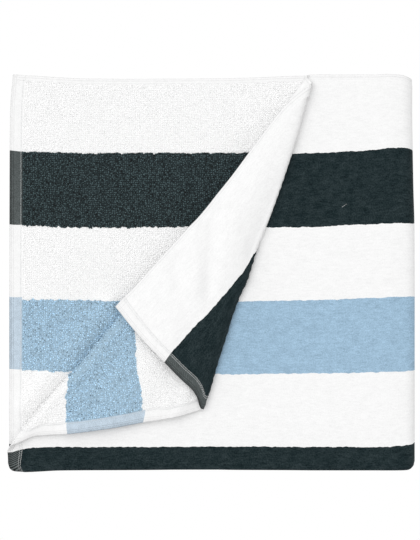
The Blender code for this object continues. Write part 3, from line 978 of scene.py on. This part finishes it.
def flat_weave():
    """Hems and selvedges: twill without pile, with the ridges and seams of the turned edge, and
    painted shade along its edge, seam and pile border.
    """
    cotton = Cotton("flat-woven cotton", roughness=0.85, sheen=0.03)
    maths = cotton.maths
    cloth = bpy.context.scene.towel_cloth
    u, v, side = cotton.parts()
    slant = maths("SUBTRACT", v, maths("MULTIPLY", u, RIB_SLANT))
    ribs = maths("SINE", maths("MULTIPLY", slant, 2 * math.pi / RIB_SIZE))
    ribs = maths("MULTIPLY_ADD", ribs, 0.5, 0.5)
    # The ribs show on the velour face and hardly on the terry face, and hardly on white.
    middle, half = (RIBS_ON_VELOUR + RIBS_ON_TERRY) / 2, (RIBS_ON_VELOUR - RIBS_ON_TERRY) / 2
    by_side = maths("MULTIPLY_ADD", side, half / MM, middle)
    colour = cotton.stripes("velour", "flat_", 0.0)
    brightness = cotton.add("ShaderNodeRGBToBW", {0: colour}).outputs[0]
    strength = maths("MULTIPLY", by_side, maths("SUBTRACT", 1.0, brightness))
    stretched = cotton.near(v, cloth.width / 2, OPEN_REACH)
    opened = maths("MULTIPLY_ADD", stretched, OPEN_STRENGTH - CLOSED_STRENGTH, CLOSED_STRENGTH)
    strength = maths("MULTIPLY", strength, opened)
    # Painted shade: the hem is made darker near the lengthwise fold
    tone = maths("MULTIPLY_ADD", stretched, OPEN_SHADED_TONE - CLOSED_TONE, CLOSED_TONE)
    shown_ribs = maths("MULTIPLY_ADD", maths("SUBTRACT", ribs, 0.5), strength, tone)
    colour = cotton.mottled(colour, shown_ribs, *RIB_MOTTLE)
    colour = cotton.mottled(colour, cotton.noise(GRAIN_SIZE, detail=1.0), *GRAIN_MOTTLE)
    colour = cotton.mottled(colour, cotton.noise(BLOTCH_SIZE), *BLOTCH_MOTTLE)
    # Darker lines at the turned edge, its ridges and the seams: painted shade at the edge, the
    # seam and the pile's border, and the same lines shape the bump.
    shade_lines = 0.0
    for place, length, lines in ((u, cloth.length, HEM_SHADE_LINES), (v, cloth.width, SELVEDGE_SHADE_LINES)):
        from_edge = maths("MINIMUM", place, maths("SUBTRACT", length, place))
        for at, reach in lines:
            shade_lines = maths("MAXIMUM", shade_lines, cotton.near(from_edge, at, reach))
    # Painted shade: these lines darken the colour
    colour = cotton.mottled(colour, maths("MULTIPLY_ADD", shade_lines, -0.5, 0.5), *SHADE_LINE_MOTTLE)
    colour = cotton.scaled(colour, maths("MULTIPLY_ADD", shade_lines, -LINE_SHADE, 1.0))
    relief = maths("SUBTRACT", maths("MULTIPLY", ribs, RIB_RELIEF), shade_lines)
    return cotton.done(colour, relief, WEAVE_RELIEF)


def looped_yarn():
    """Soft two-ply cotton of the loops, each painted a little lighter or darker than the next as
    painted light and shade of the pile.
    """
    cotton = Cotton("looped cotton yarn", roughness=0.92, sheen=0.1)
    colour = cotton.stripes("terry", "looped_", TERRY_WAVER)
    tone = cotton.add("ShaderNodeAttribute", attribute_name="tone").outputs["Fac"]
    return cotton.done(cotton.mottled(colour, tone, *LOOP_PAINTED_SHADING))


# ------------------------------------------------------------------------------- the loops

LOOPS_TO = 449.0  # where the loops that show end along the towel, before the right folds
LOOPS_TO_FOLD = 6.0  # how close to the lengthwise fold they come
# The layer below shows left of this line along the first roll, from its upper end. Its loops are
# laid a little way to the right of it too, under the roll.
ROLL_X, ROLL_Y, ROLL_RUN, ROLL_CLIMB = 112.5, 222.0, 343.0, 418.0
LOOPS_UNDER_ROLL = 22.0
LOOPS_FROM_PLEAT = 0.3  # share of the turned-back corner's lines where its loops start
LOOPS_A_PIECE = 4500
SCATTER = 0.25  # how far a loop strays from its place in the grid, in spacings
LOOP_ROOT = 0.25  # how deep its feet stand in the cloth
LOOP_SPREAD = 0.42  # from foot to foot, in spacings
LOOP_LEAN, NAP_LEAN = 0.15, (0.0, -0.1)  # how far loops lean at random, and all of them
LOOP_SIZES = (0.85, 1.15)
LOOP_SIDES, LOOP_STEPS = 4, 4  # of its yarn, and along its arch
# Painted light and shade of the pile: most loops are painted a little lighter than the yarn, as
# loops catching the light, and a few much darker, as shade in the gaps, and each one's sides
# differ.
LIGHTEST_PAINTED_LOOP, PAINTED_SHADE_POWER, TONE_SLANT = 0.7, 2.0, 0.65


def loop_shape(height, yarn, spread):
    """One loop of yarn as a small arch, standing on z = 0, by spinning a ring round its foot."""
    shape = bmesh.new()
    ring = bmesh.ops.create_circle(shape, segments=LOOP_SIDES, radius=yarn / 2)
    bmesh.ops.translate(shape, verts=ring["verts"], vec=(spread / 2, 0, 0))
    foot = shape.verts[:] + shape.edges[:]
    arc = {"cent": (0, 0, 0), "axis": (0, -1, 0), "angle": math.pi, "steps": LOOP_STEPS}
    bmesh.ops.spin(shape, geom=foot, **arc)
    bmesh.ops.scale(shape, verts=shape.verts, vec=(1, 1, height / (spread / 2)))
    bmesh.ops.recalc_face_normals(shape, faces=shape.faces)
    mesh = mesh_of(shape, "one loop")
    points = coordinates(mesh)
    faces = np.array([list(face.vertices) for face in mesh.polygons])
    bpy.data.meshes.remove(mesh)
    return points, faces


def lay_copies(name, material, shape, origins, frames, scales, flat):
    """A piece of many copies of a small shape. frames holds each copy's three axes, and flat its
    place on the flat towel."""
    points, faces = shape
    where = np.einsum("pk,nkc->npc", points, frames * scales[:, :, None])
    where = (where + origins[:, None, :]).reshape(-1, 3)
    first = np.arange(len(origins)) * len(points)
    joined = (faces[None] + first[:, None, None]).reshape(-1, faces.shape[1])
    mesh = bpy.data.meshes.new(name)
    mesh.from_pydata((where * MM).astype(np.float32), (), joined.astype(np.int32))
    mesh.validate()
    flat = np.repeat(flat, len(points), axis=0)
    write(mesh, "flat", "FLOAT_VECTOR", "vector", flat * MM)
    mesh.shade_smooth()
    mesh.materials.append(material)
    new_piece(name, mesh)
    return mesh


def turn(first, second, angle):
    """Two axes turned about the third."""
    c, s = np.cos(angle)[:, None], np.sin(angle)[:, None]
    return c * first + s * second, c * second - s * first


def lay_loops(name, places, fold, pile, random):
    """Loops standing on the terry face at places of the flat towel."""
    count = len(places)
    u, v = places.T
    origins, along, across, out = fold.bend(u, v, LOOP_ROOT - fold.half_thickness(u, v))
    lean = random.normal(0, LOOP_LEAN, (count, 2)) + NAP_LEAN
    up = unit(lean[:, :1] * along + lean[:, 1:] * across - out)
    first = unit(along - (along * up).sum(1, keepdims=True) * up)
    turned = turn(first, np.cross(up, first), random.uniform(0, math.pi, count))
    frames = np.stack((*turned, up), axis=1)
    spread = LOOP_SPREAD * pile.loop_spacing / MM
    shape = loop_shape(pile.loop_height / MM, pile.yarn / MM, spread)
    scales = random.uniform(*LOOP_SIZES, (count, 3))
    # Painted light and shade: each loop's tone stands for how much light it catches
    tone = LIGHTEST_PAINTED_LOOP * (1 - random.uniform(0, 1, count) ** PAINTED_SHADE_POWER)
    slant = random.uniform(-TONE_SLANT, TONE_SLANT, count)
    tone = tone[:, None] + slant[:, None] * np.sign(shape[0][:, 0])
    material = bpy.data.materials.get("looped cotton yarn") or looped_yarn()
    flat = np.column_stack((places, np.full(count, -1.0)))
    mesh = lay_copies(name, material, shape, origins, frames, scales, flat)
    write(mesh, "tone", "FLOAT", "value", tone)


def shown_terry(fold, pile, random):
    """Places of loops that can be seen: (on the layer below, on the turned-back corner)."""
    step = pile.loop_spacing / MM
    grid = np.meshgrid(
        np.arange(fold.hem + step / 2, LOOPS_TO, step),
        np.arange(fold.selvedge + step / 2, fold.width, step),
    )
    places = np.column_stack([line.ravel() for line in grid])
    places += random.uniform(-SCATTER * step, SCATTER * step, places.shape)
    v = places[:, 1]
    u = fold.slanted(*places.T)
    x, y, _ = fold.middle_of_cloth(u, v).T
    past_roll = (x - ROLL_X) * ROLL_CLIMB - (y - ROLL_Y) * ROLL_RUN
    below = (v < fold.half_width - LOOPS_TO_FOLD) & (past_roll < ROLL_RUN * LOOPS_UNDER_ROLL)
    flap = fold.in_flap(u, v)
    hem_place, share = fold.line_of(u[flap], fold.width - v[flap])
    off_edge = v[flap] < fold.width - fold.selvedge
    flap[flap] = (hem_place > BAND_END) & (share > LOOPS_FROM_PLEAT) & off_edge
    return places[below], places[flap]


class TOWEL_OT_terry_loops(bpy.types.Operator):
    """Lays the loops of the terry face wherever it shows"""

    bl_idname = "towel.terry_loops"
    bl_label = "Terry loops"

    def execute(self, context):
        pile = context.scene.towel_pile
        fold = Fold(context.scene.towel_cloth)
        random = np.random.default_rng(pile.seed)
        below, flap = shown_terry(fold, pile, random)
        batches = max(1, math.ceil(len(below) / LOOPS_A_PIECE))
        for i, batch in enumerate(np.array_split(below, batches)):
            lay_loops(f"loops_lower_{i + 1}", batch, fold, pile, random)
        lay_loops("loops_turned_back", flap, fold, pile, random)
        return {"FINISHED"}


# ------------------------------------------------------------------------- threads and lint

# Rows of stitches: mm from the hem's edge, and on which face
STITCH_ROWS = ((11.7, 1.0), (13.9, 1.0), (12.9, -1.0))
STITCH_STEP, STITCHES_END = 3.0, 1.0  # from stitch to stitch, and how far off the far selvedge
STITCH_LENGTH, LENGTH_VARIES = 2.5, 0.15
STRAYS_ALONG, STRAYS_ACROSS, STRAYS_TURNED = 0.1, 0.07, 0.05  # how far stitches stray
STITCH_HEIGHT, STITCH_ROOT = 0.5, 0.05
THREAD = 0.3
# Lint on the velour: u, v, length, and the way it points
LINT = ((382.5, 751.7, 6.0, 1.06), (331.0, 650.0, 1.6, 0.2))
FLUFF = 0.22


def thread_cotton():
    """White cotton sewing thread."""
    cotton = Cotton("sewing thread", roughness=0.7, sheen=0.1)
    thread = tuple(bpy.context.scene.towel_colours.thread)
    return cotton.done(cotton.shaded(thread, cotton.noise(PLY_SIZE), *PLY_SHADE))


def lay_threads(name, fold, places, side, lengths, angles, thickness):
    """Short arches of thread on one face of the cloth, turned from across the towel."""
    u, v = places.T
    height = side * (fold.half_thickness(u, v) - STITCH_ROOT)
    origins, along, across, out = fold.bend(u, v, height)
    frames = np.stack((*turn(across, along, angles), out * np.sign(side)[:, None]), axis=1)
    shape = loop_shape(STITCH_HEIGHT, thickness, 1)
    scales = np.column_stack((lengths, np.ones((len(u), 2))))
    material = bpy.data.materials.get("sewing thread") or thread_cotton()
    flat = np.column_stack((places, side))
    lay_copies(name, material, shape, origins, frames, scales, flat)


class TOWEL_OT_threads(bpy.types.Operator):
    """Sews the hem with rows of stitches, and leaves some lint on the velour"""

    bl_idname = "towel.threads"
    bl_label = "Threads and lint"

    def execute(self, context):
        fold = Fold(context.scene.towel_cloth)
        random = np.random.default_rng(context.scene.towel_pile.seed)
        rows, sides = [], []
        across = np.arange(fold.selvedge, fold.width - STITCHES_END, STITCH_STEP)
        for from_edge, side in STITCH_ROWS:
            v = across + random.normal(0, STRAYS_ALONG, len(across))
            u = from_edge + random.normal(0, STRAYS_ACROSS, len(v))
            rows.append(np.column_stack((u, v)))
            sides.append(np.full(len(v), side))
        places, side = np.concatenate(rows), np.concatenate(sides)
        lengths = random.normal(STITCH_LENGTH, LENGTH_VARIES, len(places))
        angles = random.normal(0, STRAYS_TURNED, len(places))
        lay_threads("hem_stitches", fold, places, side, lengths, angles, THREAD)
        u, v, lengths, angles = np.array(LINT).T
        lay_threads("lint", fold, np.stack((u, v), -1), np.ones(len(u)), lengths, angles, FLUFF)
        return {"FINISHED"}


# ------------------------------------------------------------------------------- the stage

# Two floors, one that the camera sees and one that light falls on and comes back from: name,
# strength of its own light, height, and whether it is the one that is seen
FLOORS = (("floor_seen", 1.0, -0.0004, True), ("floor_lit", 0.0, -0.0008, False))
FLOOR_SIZE = 30.0
FLOOR_GREY = 0.7
DAYLIGHT_FROM = (-0.45, 0.5, 1.3)  # the way to it
DAYLIGHT_SPREAD = math.radians(70)
CAMERA_X, CAMERA_Y = -0.00135, 0.00307
CAMERA_OVER = 0.020  # middle of the towel's height, from which the camera's height counts
CAMERA_LENS = 120
CAMERA_REACH = 100


def floor_material(name, strength):
    material = bpy.data.materials.new(f"{name} white")
    material.use_nodes = True
    inputs = material.node_tree.nodes["Principled BSDF"].inputs
    grey = 0 if strength else FLOOR_GREY
    inputs["Base Color"].default_value = (grey, grey, grey, 1)
    inputs["Roughness"].default_value = 1
    inputs["Specular IOR Level"].default_value = 0
    inputs["Emission Color"].default_value = (1, 1, 1, 1)
    inputs["Emission Strength"].default_value = strength
    return material


def put_floor(scene, name, strength, height, seen):
    shape = bmesh.new()
    bmesh.ops.create_grid(shape, x_segments=1, y_segments=1, size=FLOOR_SIZE)
    bmesh.ops.translate(shape, verts=shape.verts, vec=(0, 0, height))
    mesh = mesh_of(shape, name)
    mesh.materials.append(floor_material(name, strength))
    floor = bpy.data.objects.new(name, mesh)
    scene.collection.objects.link(floor)
    floor.visible_camera = seen
    for ray in ("diffuse", "glossy", "transmission", "shadow"):
        setattr(floor, f"visible_{ray}", not seen)


class TOWEL_OT_stage(bpy.types.Operator):
    """Sets a white surface, soft light and a camera straight above"""

    bl_idname = "towel.stage"
    bl_label = "Stage"

    def execute(self, context):
        scene = context.scene
        settings = scene.towel_stage
        scene.view_settings.view_transform = "Standard"
        for floor in FLOORS:
            put_floor(scene, *floor)
        world = bpy.data.worlds.new("even light")
        world.use_nodes = True
        background = world.node_tree.nodes["Background"]
        background.inputs["Color"].default_value = (1, 1, 1, 1)
        background.inputs["Strength"].default_value = settings.sky
        scene.world = world
        lamp = bpy.data.lights.new("soft daylight", "SUN")
        lamp.energy = settings.daylight
        lamp.angle = DAYLIGHT_SPREAD
        holder = bpy.data.objects.new("soft daylight", lamp)
        holder.location = DAYLIGHT_FROM
        holder.rotation_mode = "QUATERNION"
        holder.rotation_quaternion = (-holder.location).to_track_quat("-Z", "Y")
        scene.collection.objects.link(holder)
        camera = bpy.data.cameras.new("camera")
        camera.lens = CAMERA_LENS
        camera.clip_end = CAMERA_REACH
        seen_from = bpy.data.objects.new("camera", camera)
        seen_from.location = (CAMERA_X, CAMERA_Y, CAMERA_OVER + settings.camera_height)
        scene.collection.objects.link(seen_from)
        scene.camera = seen_from
        return {"FINISHED"}


class TOWEL_PT_maker(bpy.types.Panel):
    bl_label = "Folded towel"
    bl_idname = "TOWEL_PT_maker"
    bl_space_type = "VIEW_3D"
    bl_region_type = "UI"
    bl_category = "Towel"

    def draw(self, context):
        for group in GROUPS:
            settings = getattr(context.scene, group)
            box = self.layout.box()
            for name in settings.bl_rna.properties.keys():
                if name not in ("rna_type", "name"):
                    box.prop(settings, name)
        for operator in OPERATORS:
            self.layout.operator(operator.bl_idname)


OPERATORS = (TOWEL_OT_cloth, TOWEL_OT_terry_loops, TOWEL_OT_threads, TOWEL_OT_stage)


def register():
    for made in (*GROUPS.values(), *OPERATORS, TOWEL_PT_maker):
        bpy.utils.register_class(made)
    for name, group in GROUPS.items():
        setattr(bpy.types.Scene, name, bpy.props.PointerProperty(type=group))


def unregister():
    for name in GROUPS:
        delattr(bpy.types.Scene, name)
    for made in reversed((*GROUPS.values(), *OPERATORS, TOWEL_PT_maker)):
        bpy.utils.unregister_class(made)


def main():
    register()
    bpy.ops.towel.cloth()
    bpy.ops.towel.terry_loops()
    bpy.ops.towel.threads()
    bpy.ops.towel.stage()


if __name__ == "__main__":
    main()
